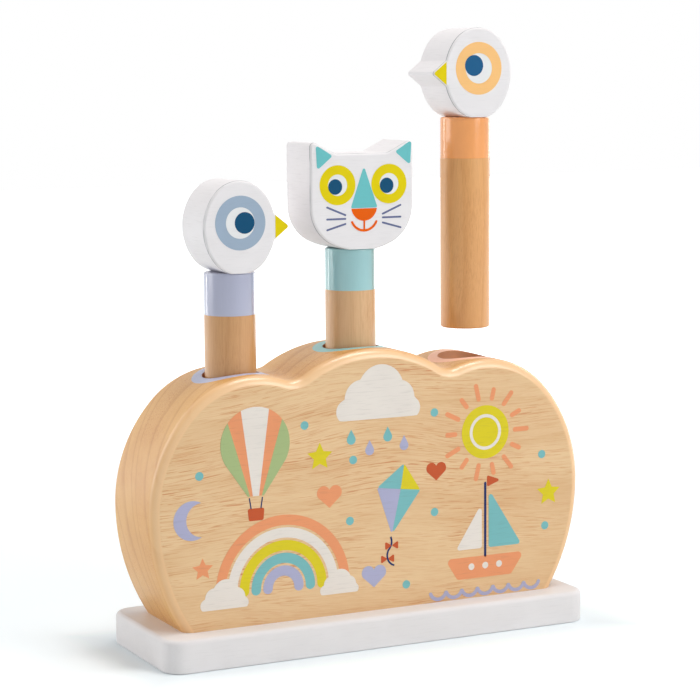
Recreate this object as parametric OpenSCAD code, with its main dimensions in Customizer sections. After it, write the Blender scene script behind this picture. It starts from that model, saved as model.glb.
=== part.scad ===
// Pop-up toy: a wooden block on a base plate, with three sprung pegs that carry animal heads.
// X runs along the block, the front faces -Y, Z is up. The origin is under the middle of the base.

/* [Base plate] */
// Length of the base plate
base_l = 230; // [215:1:260]
// Width of the base plate, front to back
base_w = 78; // [66:1:100]
// Thickness of the base plate
base_h = 16; // [12:0.5:24]
// Radius of the plate's corners seen from above
base_corner_r = 10; // [5:0.5:20]
// Rounding of the plate's upper edge
base_edge_r = 2.5; // [1:0.1:4]
// Rounding of the plate's lower edge
base_foot_r = 1; // [0.5:0.1:2]

/* [Body block] */
// Thickness of the block, front to back
block_t = 52; // [44:1:62]
// Half of the block's width where it bulges most
bulge_half_w = 117.5; // [108:0.5:128]
// Height of the widest place above the base plate
bulge_z = 56; // [48:1:64]
// Half of the block's width on the base plate
foot_half_w = 101.5; // [96:0.5:104]
// Distance of each side lobe's crest from the middle
lobe_x = 63; // [60:0.5:66]
// Height of the side lobes above the base plate
lobe_z = 120.5; // [114:0.5:124]
// Radius of the side lobes' crests
lobe_r = 48; // [44:0.5:51]
// Height of the middle lobe above the base plate
crest_z = 129.5; // [126:0.5:136]
// Radius of the middle lobe
crest_r = 70; // [60:1:80]
// Radius of the dips between the lobes
valley_r = 12; // [8:0.5:18]
// Rounding of the block's front and back edges
block_edge_r = 5; // [2:0.5:7]

/* [Bores] */
// Distance between neighbouring bores
bore_pitch = 65; // [62:0.5:68]
// Diameter of the bores
bore_d = 28; // [26.5:0.1:30]
// Depth of each bore below the crest of its lobe
bore_depth = 108; // [98:1:112]

/* [Pegs] */
// Diameter of the pegs
peg_d = 25; // [22:0.5:26]
// Length of a peg
peg_l = 106; // [98:1:112]
// How far a peg stands out of its lobe
peg_stand = 48; // [42:1:54]
// Rounding of the pegs' end edges
peg_edge_r = 1; // [0.4:0.1:2]
// How far the right peg is lifted out
lifted_by = 72; // [68:1:80]

/* [Heads] */
// Thickness of the heads
head_t = 28; // [22:0.5:34]
// Rounding of the heads' edges
head_edge_r = 1.2; // [0.6:0.1:2]
// Depth of the flat under each head
head_seat = 0.8; // [0.4:0.1:1.4]
// Width of a bird's head without its beak
bird_w = 37.7; // [35:0.1:42]
// Height of a bird's head
bird_h = 45; // [43:0.5:48]
// Radius of the bird head's top and bottom
bird_end_r = 17; // [15:0.1:17.4]
// How far the beak stands out
beak_out = 6.5; // [4:0.5:9]
// Height of the beak where it leaves the head
beak_h = 11.5; // [8:0.5:15]
// Radius of the beak's tip
beak_tip_r = 1.4; // [0.8:0.1:2]
// Width of the cat's head
cat_w = 55.8; // [50:0.2:60]
// Height of the cat's forehead above its chin
cat_h = 47.4; // [44:0.2:52]
// Radius of the cat's chin
chin_r = 39; // [36:1:44]
// Radius of the cat's cheeks
cheek_r = 20; // [17:0.5:22]
// How far the ears rise above the forehead
ear_rise = 5.6; // [4:0.2:8]
// Width of the forehead between the ears
brow_w = 28; // [22:0.5:34]
// Radius of the ears' tips
ear_tip_r = 2.2; // [1.6:0.1:3]

/* [Neck pins] */
// Diameter of the pins between pegs and heads
pin_d = 8; // [6:0.5:12]
// Length of a neck pin
pin_l = 28; // [20:1:36]

/* [Springs] */
// Thickness of the spring wire
wire_d = 1.4; // [1:0.1:1.8]
// Middle radius of the working coils
coil_r = 10.5; // [9:0.1:11]
// Middle radius of the small coil that is screwed down
anchor_r = 5; // [4.5:0.1:5.4]
// Number of working coils
coil_turns = 6.5; // [5:0.5:8]

/* [Fasteners] */
// Diameter of the washer on each spring
washer_d = 14; // [13.6:0.1:15]
// Thickness of the washers
washer_h = 1; // [0.8:0.1:1.5]
// Diameter of the spring screws
spring_screw_d = 3; // [2.5:0.1:3.5]
// Length of the spring screws under their heads
spring_screw_l = 10; // [8:0.5:11]
// Diameter of the base screws
base_screw_d = 4; // [3.5:0.1:5]
// Length of the base screws with their heads
base_screw_l = 34; // [28:1:40]
// Distance of the outer base screws from the middle
base_screw_x = 88; // [85:0.5:90]

/* [Clearances] */
// Clearance around pins and screws in their holes
fit_gap = 0.05; // [0.02:0.01:0.1]
// Gap between each peg and the spring under it
seat_gap = 0.3; // [0.1:0.05:0.5]

/* [Hidden] */
$fn = 96;

// Heights from the ground
side_crest = base_h + lobe_z;
middle_crest = base_h + crest_z;
bulge_height = base_h + bulge_z;
function bore_floor(crest) = crest - bore_depth;
function peg_bottom(crest) = crest + peg_stand - peg_l;

// The side lobe: a crest arc and a flank arc that share a tangent
lobe_c = [lobe_x, side_crest - lobe_r];
flank_dx = bulge_half_w - lobe_x;
flank_dz = side_crest - bulge_height;
flank_r = (flank_dx ^ 2 + (flank_dz - lobe_r) ^ 2 - lobe_r ^ 2) / (2 * (flank_dx - lobe_r));
flank_c = [bulge_half_w - flank_r, bulge_height];
flank_a = atan2(lobe_c[1] - flank_c[1], lobe_c[0] - flank_c[0]);
// The arc that draws the block in towards its foot
foot_in = bulge_half_w - foot_half_w;
foot_r = (foot_in ^ 2 + bulge_z ^ 2) / (2 * foot_in);
foot_c = [bulge_half_w - foot_r, bulge_height];
// The middle lobe and the dip beside it
crest_c = [0, middle_crest - crest_r];
valley_c = circles_meet(crest_c, crest_r + valley_r, lobe_c, lobe_r + valley_r);
crest_a = atan2(valley_c[1] - crest_c[1], valley_c[0] - crest_c[0]);
lobe_a = atan2(valley_c[1] - lobe_c[1], valley_c[0] - lobe_c[0]);

// The bird's head: an oval of four arcs
bird_a = bird_w / 2;
bird_e = bird_h / 2 - bird_end_r;
bird_k = (bird_e ^ 2 - (bird_a - bird_end_r) ^ 2) / (2 * (bird_a - bird_end_r));
bird_side_r = bird_a + bird_k;
bird_phi = atan2(bird_e, bird_k);
bird_mid = bird_h / 2 - head_seat;
// Its beak: the angle that its upper side faces, and where the hollow behind it starts
beak_tip = [bird_a + beak_out - beak_tip_r, 0];
beak_root = [bird_a, beak_h / 2];
beak_a = 90 - atan2(beak_root[1], beak_tip[0] - beak_root[0]) + asin(beak_tip_r / norm(beak_tip - beak_root));
beak_hollow_r = 2;
hollow_a = beak_a - acos((beak_hollow_r + beak_tip_r + (beak_tip[0] + bird_k) * cos(beak_a)) / (bird_side_r + beak_hollow_r));

// The cat's head: chin, cheeks, sides and ears
cat_a = cat_w / 2;
cheek_x = cat_a - cheek_r;
cheek_z = chin_r - sqrt((chin_r - cheek_r) ^ 2 - cheek_x ^ 2);
chin_a = atan2(cheek_z - chin_r, cheek_x);
ear_c = [cat_a - ear_tip_r, cat_h + ear_rise - ear_tip_r];
ear_touch = tangent_point([brow_w / 2, cat_h], ear_c, ear_tip_r, 1);
ear_a = atan2(ear_touch[1] - ear_c[1], ear_touch[0] - ear_c[0]);
brow_hollow_r = 5;
brow_hollow_c = [brow_w / 2 + brow_hollow_r * (1 - sin(ear_a)) / cos(ear_a), cat_h + brow_hollow_r];

// Springs
spring_l = bore_depth - (peg_l - peg_stand) - seat_gap;
wire_sides = 6;
coil_steps = 16;
anchor_turns = 0.7;
spread_turns = 0.5;
end_turns = 0.9;

// Fasteners
screw_head_h = 2.2;
slot_w = 1;
slot_depth = 1.1;
sink_depth = 2.4;
sunk_by = 0.6;
hole_spare = 0.5;
base_screw_xs = [-base_screw_x, -bore_pitch / 2, bore_pitch / 2, base_screw_x];

// Steps of every arc in an outline, and of the rounding of a board's edges
arc_steps = 10;
edge_steps = 4;

// The point on the upper side where two circles cross
function circles_meet(c0, r0, c1, r1) =
    let (v = c1 - c0, d = norm(v), a = (r0 ^ 2 - r1 ^ 2 + d ^ 2) / (2 * d), h = sqrt(r0 ^ 2 - a ^ 2))
    c0 + (a * v + h * [-v[1], v[0]]) / d;

// Where a line from p touches the circle c, r; side is 1 or -1
function tangent_point(p, c, r, side) =
    let (v = c - p, d = norm(v), a = atan2(v[1], v[0]) + side * asin(r / d))
    p + sqrt(d ^ 2 - r ^ 2) * [cos(a), sin(a)];

// Arc of an outline that is set in by d. The angles say where the edge faces; a hollow has a negative
// radius. The arc's own end is left out unless last is 1, because the next arc starts there.
function arc(c, r, a0, a1, d, last = 0) =
    [for (i = [0 : arc_steps - 1 + last]) let (a = a0 + (a1 - a0) * i / arc_steps)
        c + (r - d) * [cos(a), sin(a)]];

// The same arc on the other side of the middle
function mirrored_arc(c, r, a0, a1, d, last = 0) = arc([-c[0], c[1]], r, 180 - a1, 180 - a0, d, last);

// Upright board with rounded edges. outline(d) gives the [x, z] points of its outline, set in by d
module board(outline, t, edge_r) {
    rim = [for (i = [0 : edge_steps]) let (a = 90 * i / edge_steps)
        [edge_r * (1 - sin(a)), t / 2 - edge_r * (1 - cos(a))]];
    levels = concat([for (l = rim) [l[0], -l[1]]], [for (i = [edge_steps : -1 : 0]) rim[i]]);
    n = len(outline(0));
    skin = [for (k = [0 : len(levels) - 2], i = [0 : n - 1])
        let (a = k * n + i, b = k * n + (i + 1) % n) each [[a, b, b + n], [a, b + n, a + n]]];
    front = [for (i = [n - 1 : -1 : 0]) i];
    back = [for (i = [0 : n - 1]) (len(levels) - 1) * n + i];
    polyhedron([for (l = levels) for (p = outline(l[0])) [p[0], l[1], p[1]]], concat([front], skin, [back]));
}

// Rectangle with round corners
module round_rectangle(l, w, r) {
    square([l - 2 * r, w], center = true);
    square([l, w - 2 * r], center = true);
    for (x = [-1, 1], y = [-1, 1]) translate([x * (l / 2 - r), y * (w / 2 - r)]) circle(r);
}

module base_plate() {
    inner = max(base_edge_r, base_foot_r);
    color("white") difference() {
        union() {
            linear_extrude(base_h) round_rectangle(base_l - 2 * inner, base_w - 2 * inner, base_corner_r - inner);
            translate([0, 0, base_foot_r])
                linear_extrude(base_h - base_foot_r - base_edge_r) round_rectangle(base_l, base_w, base_corner_r);
            for (x = [-1, 1], y = [-1, 1])
                translate([x * (base_l / 2 - base_corner_r), y * (base_w / 2 - base_corner_r), 0]) base_corner();
            for (y = [-1, 1]) translate([0, y * base_w / 2, 0]) rotate([0, 0, y * 90])
                base_rim(base_l - 2 * base_corner_r);
            for (x = [-1, 1]) translate([x * base_l / 2, 0, 0]) rotate([0, 0, 90 - x * 90])
                base_rim(base_w - 2 * base_corner_r);
        }
        for (x = base_screw_xs) translate([x, 0, 0]) base_screw_hole();
    }
}

// Section of the plate's edge; x = 0 is the corner's axis
module base_section(reach) {
    translate([0, base_foot_r]) square([reach, base_h - base_foot_r - base_edge_r]);
    square([reach - base_foot_r, base_h - base_edge_r]);
    translate([0, base_foot_r]) square([reach - base_edge_r, base_h - base_foot_r]);
    translate([reach - base_edge_r, base_h - base_edge_r]) circle(base_edge_r);
    translate([reach - base_foot_r, base_foot_r]) circle(base_foot_r);
}

module base_corner() {
    rotate_extrude() base_section(base_corner_r);
}

// Straight part of the plate's edge; its outer face lies on x = 0
module base_rim(l) {
    translate([-base_corner_r, l / 2, 0]) rotate([90, 0, 0]) linear_extrude(l) base_section(base_corner_r);
}

module base_screw_hole() {
    r = base_screw_d / 2 + fit_gap;
    translate([0, 0, -1]) cylinder(r = 2 * r, h = 1 + sunk_by);
    translate([0, 0, sunk_by]) cylinder(r1 = 2 * r, r2 = r, h = sink_depth);
    translate([0, 0, sunk_by]) cylinder(r = r, h = base_h);
}

// Outline of the block: feet, flanks, lobes and dips, with a straight line along the base plate
function block_outline(d) =
    let (foot_a = -asin(bulge_z / (foot_r - d)))
    concat(arc(foot_c, foot_r, foot_a, 0, d),
           arc(flank_c, flank_r, 0, flank_a, d),
           arc(lobe_c, lobe_r, flank_a, lobe_a, d),
           arc(valley_c, -valley_r, lobe_a, crest_a, d),
           arc(crest_c, crest_r, crest_a, 180 - crest_a, d),
           mirrored_arc(valley_c, -valley_r, lobe_a, crest_a, d),
           mirrored_arc(lobe_c, lobe_r, flank_a, lobe_a, d),
           mirrored_arc(flank_c, flank_r, 0, flank_a, d),
           mirrored_arc(foot_c, foot_r, foot_a, 0, d, 1));

module body_block() {
    color([0.87, 0.72, 0.5]) difference() {
        board(function (d) block_outline(d), block_t, block_edge_r);
        bores();
        for (x = base_screw_xs) translate([x, 0, base_h - 1])
            cylinder(r = base_screw_d / 2 + fit_gap, h = 1 + sunk_by + base_screw_l + hole_spare - base_h);
    }
}

// Crest height over each of the three bores
bore_xs = [-bore_pitch, 0, bore_pitch];
crests = [side_crest, middle_crest, side_crest];

module bores() {
    for (i = [0, 1, 2]) translate([bore_xs[i], 0, bore_floor(crests[i])]) {
        cylinder(d = bore_d, h = bore_depth + 1);
        translate([0, 0, washer_top() - spring_screw_l - hole_spare])
            cylinder(r = spring_screw_d / 2 + fit_gap, h = spring_screw_l + hole_spare);
    }
}

function washer_top() = wire_d + washer_h;

// Wood screws that hold the block to the plate from below
module base_screws() {
    color("silver") for (x = base_screw_xs) translate([x, 0, sunk_by]) difference() {
        union() {
            cylinder(d1 = 2 * base_screw_d, d2 = base_screw_d, h = sink_depth);
            cylinder(d = base_screw_d, h = base_screw_l - base_screw_d);
            translate([0, 0, base_screw_l - base_screw_d])
                cylinder(d1 = base_screw_d, d2 = 0.4, h = base_screw_d);
        }
        cross_slot(0, base_screw_d);
    }
}

// Cross recess that opens at height z0 towards the side away from the shank
module cross_slot(z0, l) {
    for (a = [0, 90]) rotate([0, 0, a]) translate([-l / 2, -slot_w / 2, z0 - 0.01]) cube([l, slot_w, slot_depth]);
}

// Radius and height of the spring wire's middle after n turns
total_turns = anchor_turns + spread_turns + coil_turns + end_turns;
rise_start = anchor_turns + spread_turns;
rise_end = rise_start + coil_turns;
function spring_radius(n) =
    n < anchor_turns ? anchor_r
    : n < rise_start ? anchor_r + (coil_r - anchor_r) * (n - anchor_turns) / spread_turns
    : coil_r;
function spring_height(n) =
    let (top = spring_l - wire_d / 2, under_top = top - wire_d)
    n < rise_start ? wire_d / 2
    : n < rise_end ? wire_d / 2 + (under_top - wire_d / 2) * (n - rise_start) / coil_turns
    : under_top + wire_d * (n - rise_end) / end_turns;
function spring_ring(n) =
    let (r = spring_radius(n), z = spring_height(n), a = 360 * n)
    [for (s = [0 : wire_sides - 1]) let (b = 360 * s / wire_sides, w = r + wire_d / 2 * cos(b))
        [w * cos(a), w * sin(a), z + wire_d / 2 * sin(b)]];

module spring() {
    rings = round(total_turns * coil_steps);
    points = [for (i = [0 : rings]) each spring_ring(total_turns * i / rings)];
    skin = [for (i = [0 : rings - 1], s = [0 : wire_sides - 1])
        let (a = i * wire_sides + s, b = i * wire_sides + (s + 1) % wire_sides)
        each [[a, a + wire_sides, b + wire_sides], [a, b + wire_sides, b]]];
    first_end = [for (s = [0 : wire_sides - 1]) s];
    last_end = [for (s = [wire_sides - 1 : -1 : 0]) rings * wire_sides + s];
    color("silver") polyhedron(points, concat([first_end], skin, [last_end]));
}

module spring_left() { translate([-bore_pitch, 0, bore_floor(side_crest)]) spring(); }
module spring_middle() { translate([0, 0, bore_floor(middle_crest)]) spring(); }
module spring_right() { translate([bore_pitch, 0, bore_floor(side_crest)]) spring(); }

// Washer that clamps the small coil to the floor of the bore
module spring_washer() {
    color("gainsboro") translate([0, 0, wire_d]) difference() {
        cylinder(d = washer_d, h = washer_h);
        translate([0, 0, -1]) cylinder(r = spring_screw_d / 2 + fit_gap, h = washer_h + 2);
    }
}

module spring_washer_left() { translate([-bore_pitch, 0, bore_floor(side_crest)]) spring_washer(); }
module spring_washer_middle() { translate([0, 0, bore_floor(middle_crest)]) spring_washer(); }
module spring_washer_right() { translate([bore_pitch, 0, bore_floor(side_crest)]) spring_washer(); }

// Round-headed screw through the washer into the floor of the bore
module spring_screw() {
    head_r = spring_screw_d;
    color("silver") translate([0, 0, washer_top()]) difference() {
        union() {
            rotate_extrude() intersection() {
                square([head_r, screw_head_h]);
                translate([0, screw_head_h - 2 * head_r]) circle(2 * head_r);
            }
            translate([0, 0, spring_screw_d - spring_screw_l])
                cylinder(d = spring_screw_d, h = spring_screw_l - spring_screw_d);
            translate([0, 0, -spring_screw_l]) cylinder(d1 = 0.4, d2 = spring_screw_d, h = spring_screw_d);
        }
        cross_slot(screw_head_h - slot_depth + 0.02, 1.2 * head_r);
    }
}

module spring_screw_left() { translate([-bore_pitch, 0, bore_floor(side_crest)]) spring_screw(); }
module spring_screw_middle() { translate([0, 0, bore_floor(middle_crest)]) spring_screw(); }
module spring_screw_right() { translate([bore_pitch, 0, bore_floor(side_crest)]) spring_screw(); }

// Round peg with eased ends and a hole for its neck pin
module peg() {
    r = peg_d / 2;
    color([0.82, 0.66, 0.46]) difference() {
        rotate_extrude() {
            square([r - peg_edge_r, peg_l]);
            translate([0, peg_edge_r]) square([r, peg_l - 2 * peg_edge_r]);
            for (z = [peg_edge_r, peg_l - peg_edge_r]) intersection() {
                translate([r - peg_edge_r, z]) circle(peg_edge_r);
                square([r, peg_l]);
            }
        }
        translate([0, 0, peg_l - pin_l / 2 - hole_spare]) cylinder(r = pin_d / 2 + fit_gap, h = pin_l);
    }
}

module peg_left() { translate([-bore_pitch, 0, peg_bottom(side_crest)]) peg(); }
module peg_middle() { translate([0, 0, peg_bottom(middle_crest)]) peg(); }
module peg_right() { translate([bore_pitch, 0, peg_bottom(side_crest) + lifted_by]) peg(); }

module neck_pin() {
    color([0.8, 0.64, 0.42]) translate([0, 0, peg_l - pin_l / 2]) cylinder(d = pin_d, h = pin_l);
}

module neck_pin_left() { translate([-bore_pitch, 0, peg_bottom(side_crest)]) neck_pin(); }
module neck_pin_middle() { translate([0, 0, peg_bottom(middle_crest)]) neck_pin(); }
module neck_pin_right() { translate([bore_pitch, 0, peg_bottom(side_crest) + lifted_by]) neck_pin(); }

// What is taken away under a head: all below its seat, and the hole for its pin
module under_head() {
    translate([-cat_w, -cat_w, -2 * cat_w]) cube(2 * cat_w * [1, 1, 1]);
    cylinder(r = pin_d / 2 + fit_gap, h = pin_l / 2 + hole_spare);
}

// Outline of a bird's head with its beak towards +X; z = 0 is its seat on the peg
function bird_outline(d) =
    let (mid = [0, bird_mid], side_c = mid - [bird_k, 0], end_c = [0, bird_e],
         hollow_c = (bird_side_r + beak_hollow_r) * [cos(hollow_a), sin(hollow_a)])
    concat(arc(mid - end_c, bird_end_r, bird_phi - 180, -bird_phi, d),
           arc(side_c, bird_side_r, -bird_phi, -hollow_a, d),
           arc(side_c + [hollow_c[0], -hollow_c[1]], -beak_hollow_r, -hollow_a, -beak_a, d, 1),
           arc(mid + beak_tip, beak_tip_r, -beak_a, beak_a, d, 1),
           arc(side_c + hollow_c, -beak_hollow_r, beak_a, hollow_a, d),
           arc(side_c, bird_side_r, hollow_a, bird_phi, d),
           arc(mid + end_c, bird_end_r, bird_phi, 180 - bird_phi, d),
           arc(mid + [bird_k, 0], bird_side_r, 180 - bird_phi, 180 + bird_phi, d));

module bird_head() {
    color("white") difference() {
        board(function (d) bird_outline(d), head_t, head_edge_r);
        under_head();
    }
}

// Outline of the cat's head: chin, cheeks, ears and forehead; z = 0 is its seat on the peg
function cat_outline(d) = [for (p = concat(
    arc([0, chin_r], chin_r, -180 - chin_a, chin_a, d),
    arc([cheek_x, cheek_z], cheek_r, chin_a, 0, d, 1),
    arc(ear_c, ear_tip_r, 0, ear_a, d, 1),
    arc(brow_hollow_c, -brow_hollow_r, ear_a, 90, d, 1),
    mirrored_arc(brow_hollow_c, -brow_hollow_r, ear_a, 90, d, 1),
    mirrored_arc(ear_c, ear_tip_r, 0, ear_a, d, 1),
    mirrored_arc([cheek_x, cheek_z], cheek_r, chin_a, 0, d))) p - [0, head_seat]];

module cat_head() {
    color("white") difference() {
        board(function (d) cat_outline(d), head_t, head_edge_r);
        under_head();
    }
}

module head_left_bird() {
    translate([-bore_pitch, 0, side_crest + peg_stand]) bird_head();
}

module head_middle_cat() {
    translate([0, 0, middle_crest + peg_stand]) cat_head();
}

module head_right_bird() {
    translate([bore_pitch, 0, side_crest + peg_stand + lifted_by]) mirror([1, 0, 0]) bird_head();
}

base_plate();
body_block();
base_screws();
spring_left();
spring_middle();
spring_right();
spring_washer_left();
spring_washer_middle();
spring_washer_right();
spring_screw_left();
spring_screw_middle();
spring_screw_right();
peg_left();
peg_middle();
peg_right();
neck_pin_left();
neck_pin_middle();
neck_pin_right();
head_left_bird();
head_middle_cat();
head_right_bird();
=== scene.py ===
"""Looks of a pop-up toy: a cloud-shaped wooden block on a white base plate, with three sprung pegs that
carry the heads of a bird, a cat and a bird. Lengths are in millimetres unless a name says otherwise;
MM turns them into the scene's metres. X runs along the block, the front faces -Y, Z is up."""
import math

import bmesh
import bpy
from mathutils import Matrix, Vector


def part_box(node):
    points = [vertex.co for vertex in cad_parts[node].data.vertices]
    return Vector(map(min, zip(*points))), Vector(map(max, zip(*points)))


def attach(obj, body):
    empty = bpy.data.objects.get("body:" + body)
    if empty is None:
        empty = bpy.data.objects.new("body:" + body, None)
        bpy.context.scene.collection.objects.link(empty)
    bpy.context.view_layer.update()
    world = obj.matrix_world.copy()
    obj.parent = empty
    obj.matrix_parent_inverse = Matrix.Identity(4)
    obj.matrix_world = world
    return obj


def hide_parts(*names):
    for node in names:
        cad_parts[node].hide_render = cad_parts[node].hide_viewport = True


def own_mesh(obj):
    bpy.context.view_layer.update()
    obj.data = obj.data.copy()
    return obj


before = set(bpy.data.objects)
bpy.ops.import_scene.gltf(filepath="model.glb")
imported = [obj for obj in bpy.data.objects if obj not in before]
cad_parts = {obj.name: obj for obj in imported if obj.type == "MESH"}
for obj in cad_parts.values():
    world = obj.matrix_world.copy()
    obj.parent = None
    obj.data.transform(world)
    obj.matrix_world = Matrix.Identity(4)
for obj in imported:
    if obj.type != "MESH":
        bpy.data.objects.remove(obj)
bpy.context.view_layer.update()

MM = 0.001
SIDES = ("left", "middle", "right")
BODY_OF_PEG = {side: "plunger_" + side for side in SIDES}


def node_box(node):
    """Lowest and highest corner of a CAD node, in millimetres."""
    low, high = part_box(node)
    return low / MM, high / MM


BASE_LOW, BASE_HIGH = node_box("base_plate")
BLOCK_LOW, BLOCK_HIGH = node_box("body_block")
PEG_BOXES = {side: node_box("peg_" + side) for side in SIDES}
PEG_X = {side: (low.x + high.x) / 2 for side, (low, high) in PEG_BOXES.items()}
PEG_TOP = {side: high.z for side, (low, high) in PEG_BOXES.items()}
PEG_R = (PEG_BOXES["left"][1].x - PEG_BOXES["left"][0].x) / 2
BORE_R = 14
FRONT_Y = BLOCK_LOW.y

# ---------------------------------------------------------------- outlines

BLOCK_STEPS = 28
HEAD_STEPS = 20


def at(centre, radius, degrees):
    """The point of a circle at an angle."""
    a = math.radians(degrees)
    return (centre[0] + radius * math.cos(a), centre[1] + radius * math.sin(a))


def arc(centre, radius, start, end, inset=0.0, steps=HEAD_STEPS, last=False):
    """Points of an arc that is set in by inset. The angles say where the edge faces; a hollow has a
    negative radius. The arc's own end is left out unless last is true."""
    count = steps + 1 if last else steps
    return [at(centre, radius - inset, start + (end - start) * i / steps) for i in range(count)]


def mirrored_arc(centre, radius, start, end, inset=0.0, steps=HEAD_STEPS, last=False):
    return arc((-centre[0], centre[1]), radius, 180 - end, 180 - start, inset, steps, last)


def heading(a, b):
    """Angle in degrees of the line from a to b."""
    return math.degrees(math.atan2(b[1] - a[1], b[0] - a[0]))


def circles_meet(c0, r0, c1, r1):
    """The upper point where two circles cross."""
    d = math.dist(c0, c1)
    along = (r0 * r0 - r1 * r1 + d * d) / (2 * d)
    up = math.sqrt(r0 * r0 - along * along)
    ux, uz = (c1[0] - c0[0]) / d, (c1[1] - c0[1]) / d
    return (c0[0] + along * ux - up * uz, c0[1] + along * uz + up * ux)


BLOCK_EDGE_R = 5
BLOCK_GUARD = 0.6
BULGE_Z = BASE_HIGH.z + 56
FOOT_HALF_W = 101.5
LOBE_R = 48
LOBE_C = (63, BASE_HIGH.z + 120.5 - LOBE_R)
CREST_R = 70
CREST_C = (0, BLOCK_HIGH.z - CREST_R)
VALLEY_R = 12


def block_outline(inset):
    """The cloud: foot, flank, lobe and valley arcs on each side, and the crest between them."""
    half = BLOCK_HIGH.x
    dx, dz = half - LOBE_C[0], LOBE_C[1] - BULGE_Z
    flank_r = (dx * dx + dz * dz - LOBE_R ** 2) / (2 * (dx - LOBE_R))
    flank_c = (half - flank_r, BULGE_Z)
    flank_a = heading(flank_c, LOBE_C)
    foot_in, rise = half - FOOT_HALF_W, BULGE_Z - BASE_HIGH.z
    foot_r = (foot_in ** 2 + rise ** 2) / (2 * foot_in)
    foot_c = (half - foot_r, BULGE_Z)
    foot_a = -math.degrees(math.asin(rise / (foot_r - inset)))
    valley_c = circles_meet(CREST_C, CREST_R + VALLEY_R, LOBE_C, LOBE_R + VALLEY_R)
    crest_a, lobe_a = heading(CREST_C, valley_c), heading(LOBE_C, valley_c)
    right = [(foot_c, foot_r, foot_a, 0), (flank_c, flank_r, 0, flank_a),
             (LOBE_C, LOBE_R, flank_a, lobe_a), (valley_c, -VALLEY_R, lobe_a, crest_a)]
    points = []
    for a in right:
        points += arc(*a, inset, BLOCK_STEPS)
    points += arc(CREST_C, CREST_R, crest_a, 180 - crest_a, inset, BLOCK_STEPS)
    for a in reversed(right):
        points += mirrored_arc(*a, inset, BLOCK_STEPS, last=a is right[0])
    return points


HEAD_EDGE_R = 1.2
HEAD_SEAT = 0.8
BIRD_HALF_W = 18.85
BIRD_H = 45
BIRD_END_R = 17
BIRD_MID = BIRD_H / 2 - HEAD_SEAT
BEAK_TIP_R = 1.4
BEAK_OUT = 6.5
BEAK_H = 11.5
BEAK_HOLLOW_R = 2


def bird_outline(inset):
    """Bird's head with its beak towards +X; the seat on the peg is at z = 0."""
    rise = BIRD_H / 2 - BIRD_END_R
    narrow = BIRD_HALF_W - BIRD_END_R
    back = (rise ** 2 - narrow ** 2) / (2 * narrow)
    side_r = BIRD_HALF_W + back
    phi = heading((0, 0), (back, rise))
    tip_x = BIRD_HALF_W + BEAK_OUT - BEAK_TIP_R
    root = (tip_x - BIRD_HALF_W, BEAK_H / 2)
    beak_a = 90 - heading((0, 0), root) + math.degrees(math.asin(BEAK_TIP_R / math.hypot(*root)))
    reach = BEAK_HOLLOW_R + BEAK_TIP_R + (tip_x + back) * math.cos(math.radians(beak_a))
    hollow_a = beak_a - math.degrees(math.acos(reach / (side_r + BEAK_HOLLOW_R)))
    side_c, other_c = (-back, BIRD_MID), (back, BIRD_MID)
    low, high = (at(side_c, side_r + BEAK_HOLLOW_R, a) for a in (-hollow_a, hollow_a))
    return (arc((0, BIRD_MID - rise), BIRD_END_R, phi - 180, -phi, inset)
            + arc(side_c, side_r, -phi, -hollow_a, inset)
            + arc(low, -BEAK_HOLLOW_R, -hollow_a, -beak_a, inset, last=True)
            + arc((tip_x, BIRD_MID), BEAK_TIP_R, -beak_a, beak_a, inset, last=True)
            + arc(high, -BEAK_HOLLOW_R, beak_a, hollow_a, inset)
            + arc(side_c, side_r, hollow_a, phi, inset)
            + arc((0, BIRD_MID + rise), BIRD_END_R, phi, 180 - phi, inset)
            + arc(other_c, side_r, 180 - phi, 180 + phi, inset))


CAT_HALF_W = 27.9
CAT_H = 47.4
CHIN_R = 39
CHEEK_R = 20
EAR_RISE = 5.6
EAR_TIP_R = 2.2
BROW_W = 28
BROW_HOLLOW_R = 5


def cat_outline(inset):
    """Cat's head; the seat on the peg is at z = 0."""
    cheek_x = CAT_HALF_W - CHEEK_R
    cheek_z = CHIN_R - math.sqrt((CHIN_R - CHEEK_R) ** 2 - cheek_x ** 2)
    chin_c, cheek_c = (0, CHIN_R), (cheek_x, cheek_z)
    chin_a = heading(chin_c, cheek_c)
    ear_c = (CAT_HALF_W - EAR_TIP_R, CAT_H + EAR_RISE - EAR_TIP_R)
    corner = (BROW_W / 2, CAT_H)
    slope = heading(corner, ear_c) + math.degrees(math.asin(EAR_TIP_R / math.dist(corner, ear_c)))
    ear_a = slope + 90
    a = math.radians(ear_a)
    brow_c = (corner[0] + BROW_HOLLOW_R * (1 - math.sin(a)) / math.cos(a), CAT_H + BROW_HOLLOW_R)
    points = (arc(chin_c, CHIN_R, -180 - chin_a, chin_a, inset)
              + arc(cheek_c, CHEEK_R, chin_a, 0, inset, last=True)
              + arc(ear_c, EAR_TIP_R, 0, ear_a, inset, last=True)
              + arc(brow_c, -BROW_HOLLOW_R, ear_a, 90, inset, last=True)
              + mirrored_arc(brow_c, -BROW_HOLLOW_R, ear_a, 90, inset, last=True)
              + mirrored_arc(ear_c, EAR_TIP_R, 0, ear_a, inset, last=True)
              + mirrored_arc(cheek_c, CHEEK_R, chin_a, 0, inset))
    return [(x, z - HEAD_SEAT) for x, z in points]


def round_rectangle(half_l, half_w, radius, inset):
    points = []
    for i, (sx, sy) in enumerate(((1, 1), (-1, 1), (-1, -1), (1, -1))):
        points += arc((sx * (half_l - radius), sy * (half_w - radius)), radius, 90 * i, 90 * i + 90,
                      inset, 12, last=True)
    return points


# ---------------------------------------------------------------- meshes

EDGE_STEPS = 8
CORNER_STEPS = 6
TURNED_STEPS = 96


def new_object(name, data):
    """An object in the scene, made from a mesh, a lamp or a camera."""
    thing = bpy.data.objects.new(name, data)
    bpy.context.scene.collection.objects.link(thing)
    return thing


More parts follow.
